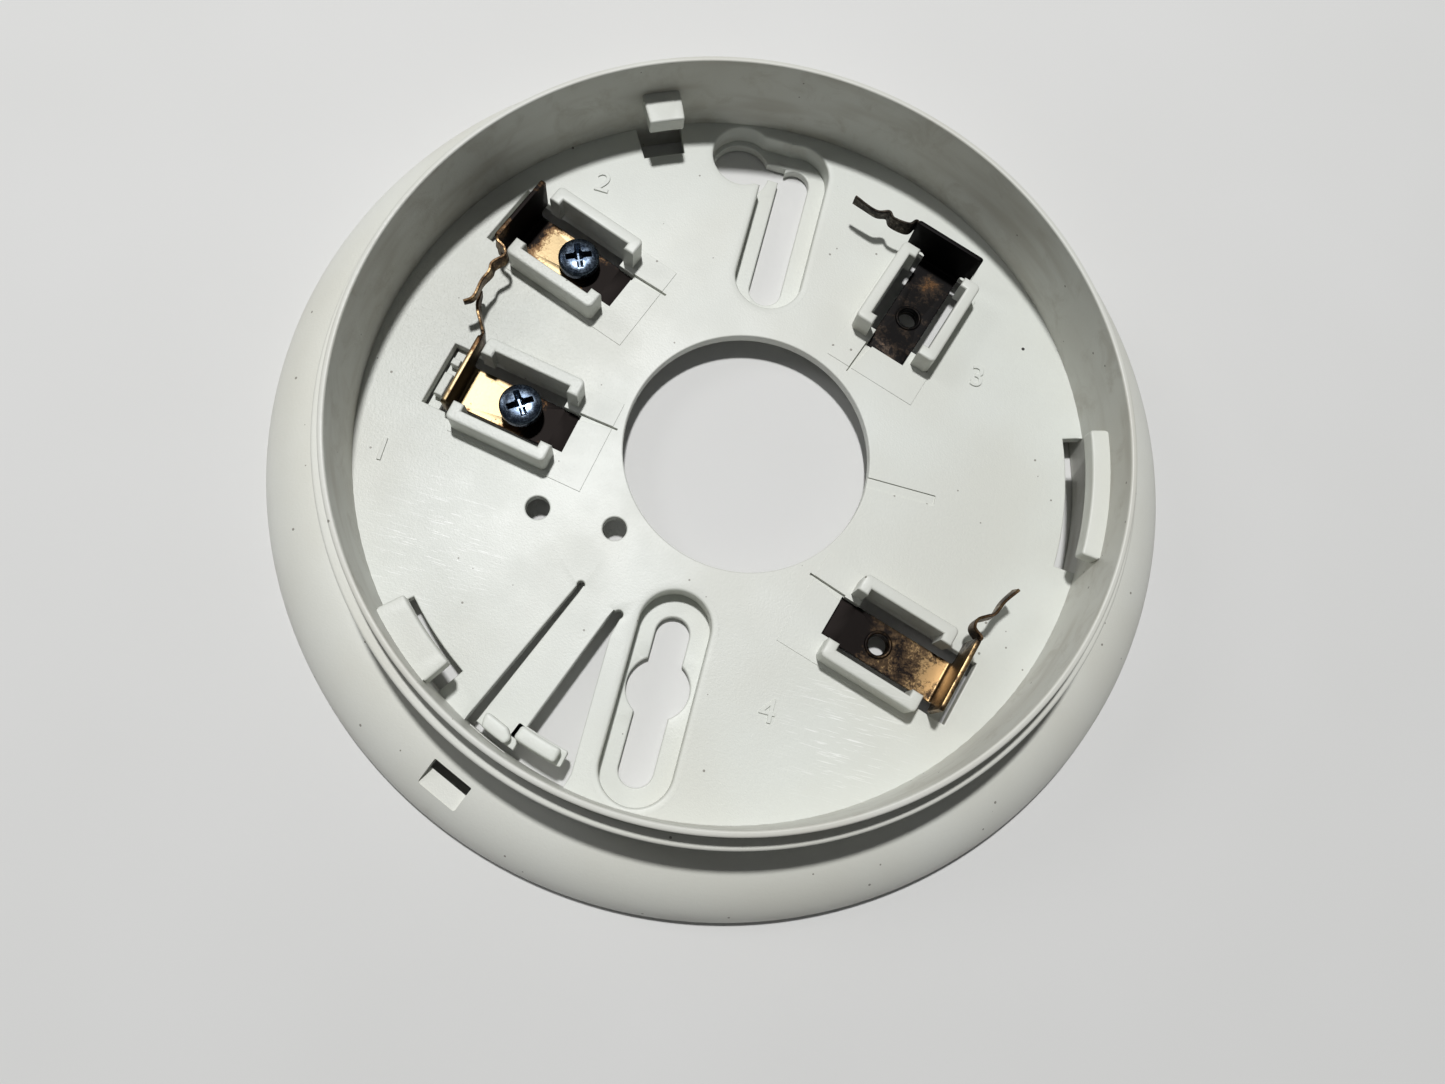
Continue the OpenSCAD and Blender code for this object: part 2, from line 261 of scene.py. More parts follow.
def quarter(radius, at_bottom, z, steps):
    """(inset, z) pairs round an edge, from its side to its face or the other way about."""
    if radius <= 0:
        return [(0, z)]
    out = []
    for k in range(steps + 1):
        a = math.pi / 2 * k / steps
        if at_bottom:
            out.append((radius * (1 - math.sin(a)), z + radius * (1 - math.cos(a))))
        else:
            out.append((radius * (1 - math.cos(a)), z - radius * (1 - math.sin(a))))
    return out


def add_slab(bm, loops, z_low, z_high, top=0.0, bottom=0.0, steps=4, sharp=None, most=0):
    """A flat solid between two heights, with rounded edges but where sharp(p) is true."""
    profile = quarter(bottom, True, z_low, steps) + quarter(top, False, z_high, steps)
    caps = ([], [])
    for loop in loops:
        depth = sum(inside(loop[0], other) for other in loops if other is not loop)
        if (area(loop) > 0) != (depth % 2 == 0):
            loop = loop[::-1]
        if most:
            loop = split_long(loop, most)
        weights = [0.0 if sharp and sharp(p) else 1.0 for p in loop]
        ways = inset_vectors(loop)
        rings = []
        for inset, z in profile:
            rings.append([
                bm.verts.new(((p[0] + w.x * inset * k) * MM, (p[1] + w.y * inset * k) * MM, z * MM))
                for p, w, k in zip(loop, ways, weights)])
        n = len(loop)
        for one, two in zip(rings, rings[1:]):
            for k in range(n):
                bm.faces.new((one[k], one[(k + 1) % n], two[(k + 1) % n], two[k]))
        for cap, ring in zip(caps, (rings[0], rings[-1])):
            cap += [bm.edges.get((ring[k], ring[(k + 1) % n])) for k in range(n)]
    for cap in caps:
        bmesh.ops.triangle_fill(bm, use_beauty=True, edges=cap, normal=(0, 0, 1))


def add_lathe(bm, profile, segments):
    """Turns a closed profile of (radius, z) points round the Z axis."""
    rings = []
    for k in range(segments):
        a = 2 * math.pi * k / segments
        x, y = math.cos(a) * MM, math.sin(a) * MM
        rings.append([bm.verts.new((r * x, r * y, z * MM)) for r, z in profile])
    for k in range(segments):
        one, two = rings[k], rings[(k + 1) % segments]
        for i in range(len(profile)):
            j = (i + 1) % len(profile)
            bm.faces.new((one[i], one[j], two[j], two[i]))
    bmesh.ops.remove_doubles(bm, verts=bm.verts, dist=1e-8)


def add_prism(bm, outline, z_low, z_high):
    add_slab(bm, [outline], z_low, z_high)


def turn_outwards(bm):
    """Turns the faces of each closed part of a mesh outwards."""
    bmesh.ops.recalc_face_normals(bm, faces=bm.faces)
    left = set(bm.faces)
    while left:
        part, front = [], [left.pop()]
        while front:
            face = front.pop()
            part.append(face)
            for e in face.edges:
                for other in e.link_faces:
                    if other in left:
                        left.discard(other)
                        front.append(other)
        if sum(f.calc_center_median().dot(f.normal) * f.calc_area() for f in part) < 0:
            bmesh.ops.reverse_faces(bm, faces=part)


def make(name, bm, place=None, angle=28):
    """An object from a bmesh: faces smooth, edges sharper than angle kept sharp."""
    if place is not None:
        bm.transform(place)
    turn_outwards(bm)
    mesh = bpy.data.meshes.new(name)
    bm.to_mesh(mesh)
    bm.free()
    obj = bpy.data.objects.new(name, mesh)
    bpy.context.scene.collection.objects.link(obj)
    shade(obj, angle)
    return obj


def shade(obj, angle=28):
    """Smooth shading, with sharp edges marked, and flat faces keeping their own normals."""
    bm = bmesh.new()
    bm.from_mesh(obj.data)
    limit = math.radians(angle)
    flat = math.radians(8)
    for f in bm.faces:
        f.smooth = True
    for e in bm.edges:
        if len(e.link_faces) != 2:
            continue
        turn = e.calc_face_angle(0)
        small, big = sorted(f.calc_area() for f in e.link_faces)
        e.smooth = turn < limit and not (turn > flat and big > 12 * small)
    bm.to_mesh(obj.data)
    bm.free()


def settle(obj):
    """Applies an object's modifiers."""
    bpy.context.view_layer.update()
    seen = obj.evaluated_get(bpy.context.evaluated_depsgraph_get())
    mesh = bpy.data.meshes.new_from_object(seen)
    obj.modifiers.clear()
    obj.data = mesh


def carve(obj, *cutters, angle=28):
    """Cuts other objects out of one, and deletes them."""
    for cutter in cutters:
        step = obj.modifiers.new("cut", "BOOLEAN")
        step.operation = "DIFFERENCE"
        step.solver = "EXACT"
        step.object = cutter
    settle(obj)
    for cutter in cutters:
        bpy.data.objects.remove(cutter)
    shade(obj, angle)


def place_of(i):
    """Terminal axes to the row frame: X outwards, Y towards the spring finger."""
    at = Matrix.Translation((term_at[i].x * MM, term_at[i].y * MM, 0))
    turn = Matrix.Rotation(math.radians(term_angle[i]), 4, "Z")
    flip = Matrix.Diagonal((1, -1 if term_flip[i] else 1, 1, 1))
    return at @ turn @ flip


def finish_piece(obj, body, material, slot, *nodes):
    """Gives a piece its looks, the body it rides on and the CAD nodes it replaces."""
    obj.data.materials.clear()
    obj.data.materials.append(material)
    if body:
        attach(obj, body)
    if nodes:
        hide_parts(*nodes)


# ---- Materials ----


class Shader:
    """A Principled material with helpers for its node tree. Texture space is millimetres."""

    def __init__(self, name, **sockets):
        self.material = bpy.data.materials.new(name)
        self.material.use_nodes = True
        self.nodes = self.material.node_tree.nodes
        self.links = self.material.node_tree.links
        self.bsdf = self.nodes["Principled BSDF"]
        for socket, value in sockets.items():
            self.bsdf.inputs[socket.replace("_", " ")].default_value = value
        place = self.nodes.new("ShaderNodeTexCoord")
        scale = self.nodes.new("ShaderNodeMapping")
        scale.inputs["Scale"].default_value = (1 / MM, 1 / MM, 1 / MM)
        self.links.new(place.outputs["Object"], scale.inputs["Vector"])
        self.space = scale.outputs["Vector"]

    def set(self, socket, value):
        if hasattr(value, "links"):
            self.links.new(value, socket)
        else:
            socket.default_value = value

    def noise(self, scale, detail=2.0, rough=0.5, space=None, warp=0.0):
        n = self.nodes.new("ShaderNodeTexNoise")
        self.links.new(space or self.space, n.inputs["Vector"])
        n.inputs["Scale"].default_value = scale
        n.inputs["Detail"].default_value = detail
        n.inputs["Roughness"].default_value = rough
        n.inputs["Distortion"].default_value = warp
        return n.outputs["Fac"]

    def voronoi(self, scale, output="Distance"):
        n = self.nodes.new("ShaderNodeTexVoronoi")
        self.links.new(self.space, n.inputs["Vector"])
        n.inputs["Scale"].default_value = scale
        return n.outputs[output]

    def stretched(self, factors, turn=0.0):
        n = self.nodes.new("ShaderNodeMapping")
        self.links.new(self.space, n.inputs["Vector"])
        n.inputs["Scale"].default_value = factors
        n.inputs["Rotation"].default_value = (0, 0, turn)
        return n.outputs["Vector"]

    def ramp(self, value, low_end, high_end, low_out=0.0, high_out=1.0):
        n = self.nodes.new("ShaderNodeMapRange")
        n.interpolation_type = "SMOOTHSTEP"
        self.set(n.inputs["Value"], value)
        ends = {"From Min": low_end, "From Max": high_end, "To Min": low_out, "To Max": high_out}
        for key, number in ends.items():
            n.inputs[key].default_value = number
        return n.outputs["Result"]

    def calc(self, operation, one, two=0.0):
        n = self.nodes.new("ShaderNodeMath")
        n.operation = operation
        self.set(n.inputs[0], one)
        self.set(n.inputs[1], two)
        return n.outputs[0]

    def mix(self, factor, one, two):
        n = self.nodes.new("ShaderNodeMix")
        n.data_type = "RGBA"
        self.set(n.inputs["Factor"], factor)
        self.set(n.inputs[6], one)
        self.set(n.inputs[7], two)
        return n.outputs[2]

    def split(self, vector):
        n = self.nodes.new("ShaderNodeSeparateXYZ")
        self.links.new(vector, n.inputs[0])
        return n.outputs

    def spot(self, centre, radius):
        """1 at a point in the row frame, in millimetres, falling to 0 at radius."""
        return self.ramp(self.distance(centre), 0, radius, 1, 0)

    def distance(self, centre):
        n = self.nodes.new("ShaderNodeVectorMath")
        n.operation = "DISTANCE"
        self.links.new(self.space, n.inputs[0])
        n.inputs[1].default_value = centre
        return n.outputs["Value"]

    def bump(self, height, strength, distance, below=None):
        n = self.nodes.new("ShaderNodeBump")
        self.set(n.inputs["Strength"], strength)
        n.inputs["Distance"].default_value = distance * MM
        self.links.new(height, n.inputs["Height"])
        if below is not None:
            self.links.new(below, n.inputs["Normal"])
        return n.outputs["Normal"]

    def done(self, color=None, roughness=None, normal=None):
        for key, value in (("Base Color", color), ("Roughness", roughness), ("Normal", normal)):
            if value is not None:
                self.links.new(value, self.bsdf.inputs[key])
        return self.material


def rgb(r, g, b):
    """A colour given in screen values from 0 to 255, as linear light."""
    return tuple(((c / 255 + 0.055) / 1.055) ** 2.4 if c > 10 else c / 3295 for c in (r, g, b)) + (1,)


def plastic(name, lighter_tone, worn, grain, upright_tint_amount):
    """Moulded plastic: grain, mottling, specks, scuffs, and brown-grey patches on upright faces."""
    s = Shader(name, Specular_IOR_Level=0.5, IOR=1.5)
    drift = s.ramp(s.noise(0.035, 3), 0.35, 0.7)
    mottle = s.ramp(s.noise(1.6, 4, 0.6), 0.3, 0.75)
    tint = s.mix(s.calc("MULTIPLY", drift, 0.55), lighter_tone, worn)
    tint = s.mix(s.calc("MULTIPLY", mottle, 0.1), tint, worn)
    # Upright faces are tinted brown-grey in noisy patches and streaks
    geometry = s.nodes.new("ShaderNodeNewGeometry")
    upright = s.ramp(s.calc("ABSOLUTE", s.split(geometry.outputs["Normal"])[2]), 0.25, 0.8, 1, 0)
    patch_noise = s.ramp(s.noise(0.16, 5, 0.65, warp=0.6), 0.45, 0.75)
    streak = s.ramp(s.noise(1.0, 2, 0.5, space=s.stretched((0.05, 0.05, 0.25))), 0.45, 0.8)
    upright_patches = s.calc("MULTIPLY", s.calc("MAXIMUM", patch_noise, streak), s.calc("MULTIPLY", upright, upright_tint_amount))
    tint = s.mix(upright_patches, tint, rgb(150, 141, 124))
    # Specks of dirt, a few large and many small
    for scale, share, least, most in ((0.115, 0.4, 0.01, 0.03), (0.3, 0.4, 0.03, 0.07)):
        pick = s.split(s.voronoi(scale, "Color"))
        size = s.ramp(pick[1], 0, 1, least, most)
        chosen = s.calc("GREATER_THAN", pick[0], share)
        speck = s.calc("MULTIPLY", s.calc("LESS_THAN", s.voronoi(scale), size), chosen)
        tint = s.mix(s.calc("MULTIPLY", speck, 0.7), tint, rgb(84, 76, 62))
    # One pit, as dark as soot
    tint = s.mix(s.calc("LESS_THAN", s.distance((46.3, 32.4, plate_top)), 0.3), tint, rgb(30, 27, 24))
    # Fine scuffs in two places
    rubbed = s.calc("MAXIMUM", s.spot((-42, -30, plate_top), 17), s.spot((29, -42, plate_top), 16))
    lines = s.noise(1.0, 3, 0.6, space=s.stretched((0.25, 4.5, 1), math.radians(-35)))
    scuff = s.calc("MULTIPLY", s.ramp(lines, 0.56, 0.66), rubbed)
    tint = s.mix(s.calc("MULTIPLY", scuff, 0.8), tint, rgb(240, 241, 238))
    # Spark-eroded grain, strongest on the left of the floor plate
    rough_area = s.calc("MULTIPLY", s.spot((-46, 8, plate_top), 34), 0.85)
    normal = s.bump(s.noise(5.5, 2, 0.6), grain, 0.05)
    normal = s.bump(s.noise(2.6, 2, 0.6), s.calc("ADD", rough_area, 0.15), 0.16, normal)
    normal = s.bump(scuff, 0.25, 0.03, normal)
    rough = s.ramp(s.noise(0.12, 4), 0.3, 0.7, 0.4, 0.47)
    rough = s.calc("SUBTRACT", rough, s.calc("MULTIPLY", scuff, 0.08))
    return s.done(tint, rough, normal)


def bronze(name, bright, brown, black, cover, seed, lighter_tone=(), burnt=()):
    """Contact metal: bright plating under patches of brown and black tarnish.

    Spots (x, y, z, radius) of less and more tarnish; on contact 1 the first are painted highlight.
    """
    s = Shader(name, Metallic=1.0)
    shift = s.nodes.new("ShaderNodeVectorMath")
    shift.operation = "ADD"
    s.links.new(s.space, shift.inputs[0])
    shift.inputs[1].default_value = (seed, seed * 0.7, 0)
    patches = s.noise(0.28, 6, 0.7, space=shift.outputs[0], warp=0.5)
    freckles = s.noise(1.7, 4, 0.7, space=shift.outputs[0], warp=1.0)
    level = s.calc("ADD", patches, s.calc("MULTIPLY", freckles, 0.6))
    # Spots of less tarnish; on contact 1 these are painted highlight
    for x, y, z, r in lighter_tone:
        level = s.calc("SUBTRACT", level, s.calc("MULTIPLY", s.spot((x, y, z), r), 0.36))
    for x, y, z, r in burnt:
        level = s.calc("ADD", level, s.calc("MULTIPLY", s.spot((x, y, z), r), 0.6))
    browned = s.ramp(level, 0.8 - cover, 0.98 - cover)
    blacked = s.ramp(level, 0.98 - cover, 1.14 - cover)
    tint = s.mix(browned, bright, brown)
    tint = s.mix(blacked, tint, black)
    lines = s.noise(2.0, 2, 0.5, space=s.stretched((0.3, 8, 1), math.radians(20)))
    normal = s.bump(lines, 0.12, 0.03)
    normal = s.bump(freckles, 0.2, 0.06, normal)
    rough = s.ramp(s.calc("ADD", browned, blacked), 0, 2, 0.36, 0.56)
    return s.done(tint, rough, normal)


def zinc(name):
    """Dull blue-grey zinc plating, clouded and finely pitted."""
    s = Shader(name, Metallic=1.0)
    cloud = s.noise(0.9, 5, 0.65, warp=0.4)
    tint = s.mix(s.ramp(cloud, 0.35, 0.7), rgb(52, 62, 76), rgb(104, 116, 130))
    pits = s.noise(4, 3, 0.6)
    rough = s.ramp(pits, 0.3, 0.7, 0.2, 0.38)
    return s.done(tint, rough, s.bump(pits, 0.12, 0.04))


plate_white = plastic("plate_plastic", rgb(212, 215, 209), rgb(202, 202, 193), 0.34, 0.3)
trim_white = plastic("trim_plastic", rgb(216, 217, 210), rgb(206, 205, 194), 0.2, 0.3)
wall_white = plastic("wall_plastic", rgb(208, 209, 202), rgb(196, 194, 183), 0.22, 0.4)
gold = rgb(124, 104, 76)
umber = rgb(74, 57, 41)
soot = rgb(27, 24, 23)


def on_terminal(i, u, z, r):
    """A spot on a terminal: distance outwards from its hole, height and radius."""
    p = place_of(i) @ Vector((u * MM, 0, 0)) / MM
    return p.x, p.y, z, r


contact_metals = [
    # Contact 1's spots of less tarnish are painted highlight: glint on the strip, lit top of the flag
    bronze("contact_1_metal", rgb(112, 98, 74), rgb(80, 58, 38), soot, 0.15, 3.0,
           lighter_tone=[on_terminal(0, 6, 4, 7), on_terminal(0, 10.6, 9, 8)],
           burnt=[on_terminal(0, -8, 4, 9)]),
    bronze("contact_2_metal", rgb(112, 98, 74), rgb(76, 58, 40), soot, 0.16, 11.0,
           lighter_tone=[on_terminal(1, 4, 4, 6)],
           burnt=[on_terminal(1, -8, 4, 9), on_terminal(1, 11.5, 9, 9)]),
    bronze("contact_3_metal", rgb(84, 62, 42), rgb(42, 36, 31), rgb(24, 23, 23), 0.34, 19.0,
           lighter_tone=[on_terminal(2, 8.4, 4, 3.2)], burnt=[on_terminal(2, 12.5, 10, 9)]),
    bronze("contact_4_metal", rgb(142, 118, 84), rgb(62, 50, 38), soot, 0.24, 31.0,
           lighter_tone=[on_terminal(3, 11.5, 9, 10)], burnt=[on_terminal(3, -9, 4, 10)])]
finger_metals = [
    bronze("finger_1_metal", gold, umber, soot, 0.16, 43.0),
    bronze("finger_2_metal", gold, umber, soot, 0.14, 51.0),
    bronze("finger_3_metal", rgb(96, 90, 82), rgb(50, 45, 40), soot, 0.2, 63.0),
    bronze("finger_4_metal", gold, umber, soot, 0.16, 71.0)]
screw_zinc = zinc("screw_zinc")

# ---- The base moulding ----

boss_walls = {n: section(n, boss_wall_cut) for n in ("slot_boss_lower", "slot_boss_upper")}
boss_floors = {n: section(n, boss_floor_cut) for n in boss_walls}
boss_outer = [max(loops, key=lambda loop: abs(area(loop))) for loops in boss_walls.values()]


def plate_edge_sharp(p):
    """The plate keeps its edge where it runs on into the wall, a boss or the lever's root."""
    if math.hypot(*p) > wall_ri - 0.06 or near_outline(p, boss_outer):
        return True
    return near_outline(p, [lever_root])


def tool_block(r1, r2, z1, z2, corner=0.01):
    """A cutter across the tool window's direction, between two radii and heights."""
    bm = bmesh.new()
    half = tool_w / 2
    outline = rounded([(r1, -half), (r2, -half), (r2, half), (r1, half)], corner)
    add_prism(bm, outline, z1, z2)
    return make("cutter", bm, Matrix.Rotation(math.radians(tool_angle), 4, "Z"))


def groove_cutter(i):
    """A wire's way in at one guard wall's end. Terminal 2 has it at the other wall."""
    side = -1 if i == 1 else 1
    bm = bmesh.new()
    add_prism(bm, [(u, v * side) for u, v in groove], plate_top - groove_depth, plate_top + 1)
    return make("cutter", bm, place_of(i))


def gauge_cutter():
    """The shallow strip gauge in the plate."""
    bm = bmesh.new()
    add_prism(bm, rounded(gauge, 0.25), plate_top - gauge_depth, plate_top + 1)
    return make("cutter", bm)


def build_plate():
    """The floor plate, the contact cradles below it and the witness pads on it."""
    bm = bmesh.new()
    add_slab(bm, section("base_plate", plate_cut), plate_low, plate_top, top=plate_edge, bottom=under_edge,
             sharp=plate_edge_sharp, most=outline_step)
    plate = make("floor_plate", bm)
    carve(plate, gauge_cutter(), *[groove_cutter(i) for i in range(4)])
    finish_piece(plate, BASE, plate_white, PLASTIC, "base_plate")
    bm = bmesh.new()
    add_slab(bm, section("base_plate", cradle_cut), cradle_low, plate_low, bottom=0.2)
    finish_piece(make("contact_cradles", bm), BASE, plate_white, PLASTIC)
    bm = bmesh.new()
    add_slab(bm, section("base_plate", pad_cut), plate_top, pad_top, top=0.07)
    finish_piece(make("insert_witness_pads", bm), BASE, plate_white, PLASTIC)


def build_boss(node):
    """A mounting slot: its boss, its recess and the recess floor with the slot."""
    outer = max(boss_walls[node], key=lambda loop: abs(area(loop)))
    recess = min(boss_walls[node], key=lambda loop: abs(area(loop)))
    slot = min(boss_floors[node], key=lambda loop: abs(area(loop)))
    bm = bmesh.new()
    add_slab(bm, [outer, recess], 0, plate_top, top=0.4,
             sharp=lambda p: near_outline(p, [outer]), most=outline_step)
    add_slab(bm, [recess, slot], 0, slot_floor, top=0.25,
             sharp=lambda p: near_outline(p, [recess]), most=outline_step)
    name = node.replace("slot_boss", "slot_recess")
    finish_piece(make(name, bm), BASE, plate_white, PLASTIC, node)


def build_wall():
    """The upright wall round the plate, open at the tool window."""
    r = 0.33
    profile = [(wall_ri, 0), (wall_ro, 0)]
    profile += arc(wall_ro - r, wall_top - r, r, 0, 90, 5)
    profile += arc(wall_ri + r, wall_top - r, r, 90, 180, 5)
    bm = bmesh.new()
    add_lathe(bm, profile, round_segments)
    wall = make("upright_wall", bm)
    carve(wall, tool_block(wall_ri - 1, wall_ro + 1, *tool_way_z))
    finish_piece(wall, BASE, wall_white, PLASTIC, "rim_wall")


def skirt_curve(centre, t):
    """Quarter of an ellipse from the skirt's foot to its crest, smaller by t."""
    angles = [math.radians(a) for a in range(0, 91, 5)]
    return [(centre + (skirt_w - t) * math.cos(a), (skirt_h - t) * math.sin(a)) for a in angles]


def build_ring():
    """The trim ring: a band round the wall and a hollow skirt, with the tool window."""
    centre = flange_r - skirt_w
    cove = centre - ring_ro
    outer_r, inner_r = 0.42, 0.252
    profile = [(flange_r - skirt_t, 0), (flange_r - 0.3, 0)] + skirt_curve(centre, 0)[1:]
    profile += arc(centre, skirt_h + cove, cove, 270, 180, 6)
    profile += arc(ring_ro - outer_r, ring_top - outer_r, outer_r, 0, 90, 5)
    profile += arc(ring_ri + inner_r, ring_top - inner_r, inner_r, 90, 180, 4)
    profile += [(ring_ri, 0), (ring_ro, 0), (ring_ro, skirt_h - skirt_t)]
    profile += skirt_curve(centre, skirt_t)[:0:-1]
    bm = bmesh.new()
    add_lathe(bm, profile, round_segments)
    ring = make("flange_ring", bm)
    above = ledge_z + 6
    carve(ring, tool_block(*tool_r, ledge_z, above, 0.5),
          tool_block(tool_r[0], tool_slot_r, tool_slot_z, above, 0.2),
          tool_block(ring_ri - 1, tool_r[0] + 0.2, *tool_way_z))
    finish_piece(ring, BASE, trim_white, "trim_white", "trim_ring")


def build_tab(i):
    """A bayonet tab on the inside of the wall."""
    node = f"bayonet_tab_{i}"
    bm = bmesh.new()
    z1, z2 = low(node).z, high(node).z
    loops = [rounded(loop, 0.5) for loop in section(node, (z1 + z2) / 2)]
    add_slab(bm, loops, z1, z2, top=0.35, bottom=0.25,
             sharp=lambda p: math.hypot(*p) > wall_ri - 0.06)
    finish_piece(make(f"tab_{i}", bm), BASE, plate_white, PLASTIC, node)


def build_guard(i):
    """The walls that guard a terminal."""
    node = f"terminal_guard_{i}"
    bm = bmesh.new()
    add_slab(bm, section(node, guard_cut), low(node).z, high(node).z, top=guard_edge)
    finish_piece(make(f"guard_walls_{i}", bm), BASE, plate_white, PLASTIC, node)


def build_numeral(text, x, y):
    """A raised numeral beside a terminal."""
    font = bpy.data.curves.new("numeral_" + text, "FONT")
    font.body = text
    font.size = 5.6 * MM
    font.extrude = 0.13 * MM
    font.bevel_depth = 0.1 * MM
    font.offset = -0.04 * MM
    font.align_x = "CENTER"
    font.align_y = "CENTER"
    obj = bpy.data.objects.new("numeral_" + text, font)
    bpy.context.scene.collection.objects.link(obj)
    obj.location = (x * MM, y * MM, (plate_top + 0.05) * MM)
    bpy.context.view_layer.update()
    seen = obj.evaluated_get(bpy.context.evaluated_depsgraph_get())
    mesh = bpy.data.meshes.new_from_object(seen)
    mesh.transform(obj.matrix_world)
    bpy.data.objects.remove(obj)
    new = bpy.data.objects.new("numeral_" + text, mesh)
    bpy.context.scene.collection.objects.link(new)
    shade(new)
    finish_piece(new, BASE, plate_white, PLASTIC)


# ---- Terminals ----


def fold(bm, bend_s, rise_s):
    """Folds a flat strip up round its bend, which runs from bend_s to rise_s along it."""
    steps = 8
    for k in range(steps + 1):
        s = bend_s + (rise_s - bend_s) * k / steps
        bmesh.ops.bisect_plane(bm, geom=bm.verts[:] + bm.edges[:] + bm.faces[:],
                               plane_co=(s * MM, 0, 0), plane_no=(1, 0, 0))
    for v in bm.verts:
        s, h = v.co.x / MM, v.co.z / MM
        angle = max(0.0, min(1.0, (s - bend_s) / (rise_s - bend_s))) * math.pi / 2
        r = bend_r - h
        u = min(s, bend_s) + r * math.sin(angle)
        z = strip_z + bend_r - r * math.cos(angle) + max(0.0, s - rise_s)
        v.co.x, v.co.z = u * MM, z * MM


def add_contact(bm, i):
    """A contact cut flat, then folded up into its flag. s runs along it, v across it."""
    bend_s = flag_u[i] - bend_r + metal_t
    rise_s = bend_s + bend_r * math.pi / 2
    top_s = rise_s + high(f"contact_{i + 1}").z - strip_z - bend_r
    flag_s = rise_s + 1.0
    half = contact_half_w
    tongue_half, tongue_s = half - 0.2, contact_end + 3
    outline = [
        (contact_end, -tongue_half), (tongue_s, -tongue_half), (tongue_s, -half), (flag_s, -half),
        (flag_s, flag_v[0]), (top_s, flag_v[0]), (top_s, flag_v[1]), (flag_s, flag_v[1]),
        (flag_s, half), (tongue_s, half), (tongue_s, tongue_half), (contact_end, tongue_half)]
    hole = arc(0, 0, thread_r, 0, 352.5, 47)
    add_slab(bm, [rounded(outline, 0.7), hole], 0, metal_t, top=0.12, bottom=0.12, steps=2)
    fold(bm, bend_s, rise_s)
    # Extruded collar round the tapped hole, with its thread
    thread_depth, collar_z = 0.12, strip_z - collar_h
    collar = [(thread_r - (thread_depth if k % 2 else 0), collar_z + thread_pitch / 2 * k)
              for k in range(4, -1, -1)]
    collar += arc(thread_r + 0.55, collar_z + 0.2, 0.2, 270, 360, 3)
    add_lathe(bm, collar + [(thread_r + 0.9, strip_z + 0.1)], 48)
    # Rolled lip of the hole, seen from above
    lip_r, face = 0.34, strip_z + metal_t
    lip = arc(thread_r + lip_r, face - 0.05, lip_r, 180, 0, 6)
    lip += [(thread_r + 2 * lip_r, face - 0.2), (thread_r, face - 0.2)]
    add_lathe(bm, lip, 48)


def smooth_path(points, per=8):
    """A Catmull-Rom curve through the points."""
    ends = [2 * points[0] - points[1]] + points + [2 * points[-1] - points[-2]]
    out = []
    for k in range(1, len(ends) - 2):
        a, b, c, d = ends[k - 1:k + 3]
        for j in range(per):
            t = j / per
            square, cube = 2 * a - 5 * b + 4 * c - d, 3 * b - a - 3 * c + d
            out.append(0.5 * (2 * b + (c - a) * t + square * t * t + cube * t ** 3))
    return out + [points[-1]]


# Each finger's route across the plate from its flag's edge, on the terminal's own axes
finger_paths = [
    [(0.1, 0.2), (0.5, 0.8), (1.3, 2.0), (2.4, 3.4), (3.4, 5.0), (3.9, 7.0)],
    [(-0.6, 0.1), (-2.3, 0.4), (-3.2, 1.5), (-2.5, 3.8), (-2.9, 5.2), (-2.9, 7.4), (-3.5, 10.4),
     (-2.7, 12.0)],
    [(0, 0), (-1.4, 0.7), (-1.9, 3.6), (-1.2, 4.9), (-2.2, 6.6), (-2.3, 9.2), (-2.2, 11.4)],
    [(0, 0), (-1.5, 0.8), (-1.6, 2.2), (-0.4, 3.6), (0.4, 4.6), (0.8, 7.4), (1.8, 10.3)]]
finger_t = 0.5
finger_reach = 0.35


def build_finger(i):
    """The spring finger of a contact, which runs on from its flag."""
    node = f"spring_finger_{i + 1}"
    z1, z2 = low(node).z, high(node).z
    start = Vector((flag_u[i] + metal_t / 2, flag_v[1] + finger_reach))
    path = [start + Vector(p) for p in finger_paths[i]]
    path = smooth_path([Vector((flag_u[i] + metal_t / 2, flag_v[1] - 0.25))] + path)
    length = len(path) - 1
    bm = bmesh.new()
    rings = []
    for k, p in enumerate(path):
        t = k / length
        way = (path[min(k + 1, length)] - path[max(k - 1, 0)]).normalized()
        side = Vector((-way.y, way.x))
        # The blade narrows towards its tip and is a little crumpled
        lower = z1 + 0.25 * math.sin(3 * t + i) ** 2 + 0.5 * t * t
        upper = z2 - 0.18 * math.sin(9 * t + 2 * i) ** 2 - 0.25 * t
        lean = 0.14 * math.sin(7 * t + 1.3 * i)
        ring = []
        r = finger_t / 2
        for across, up in ((-r, 0), (-r * 0.6, -r * 0.5), (r * 0.6, -r * 0.5), (r, 0)):
            ring.append((p + side * (across - lean), lower + r * 0.5 + up))
        for across, up in ((r, 0), (r * 0.6, r * 0.5), (-r * 0.6, r * 0.5), (-r, 0)):
            ring.append((p + side * (across + lean), upper - r * 0.5 + up))
        rings.append([bm.verts.new((q.x * MM, q.y * MM, z * MM)) for q, z in ring])
    n = len(rings[0])
    for one, two in zip(rings, rings[1:]):
        for k in range(n):
            bm.faces.new((one[k], one[(k + 1) % n], two[(k + 1) % n], two[k]))
    bm.faces.new(rings[0])
    bm.faces.new(rings[-1])
    place = place_of(i)
    obj = make(f"finger_blade_{i + 1}", bm, place, 50)
    finish_piece(obj, None, finger_metals[i], "dark_bronze", node)
    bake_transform(obj)


def build_contact(i):
    """The contact strip of a terminal."""
    bm = bmesh.new()
    add_contact(bm, i)
    slot = "plated_bronze" if i in (0, 3) else "dark_bronze"
    strip = make(f"contact_strip_{i + 1}", bm, place_of(i))
    finish_piece(strip, BASE, contact_metals[i], slot, f"contact_{i + 1}")


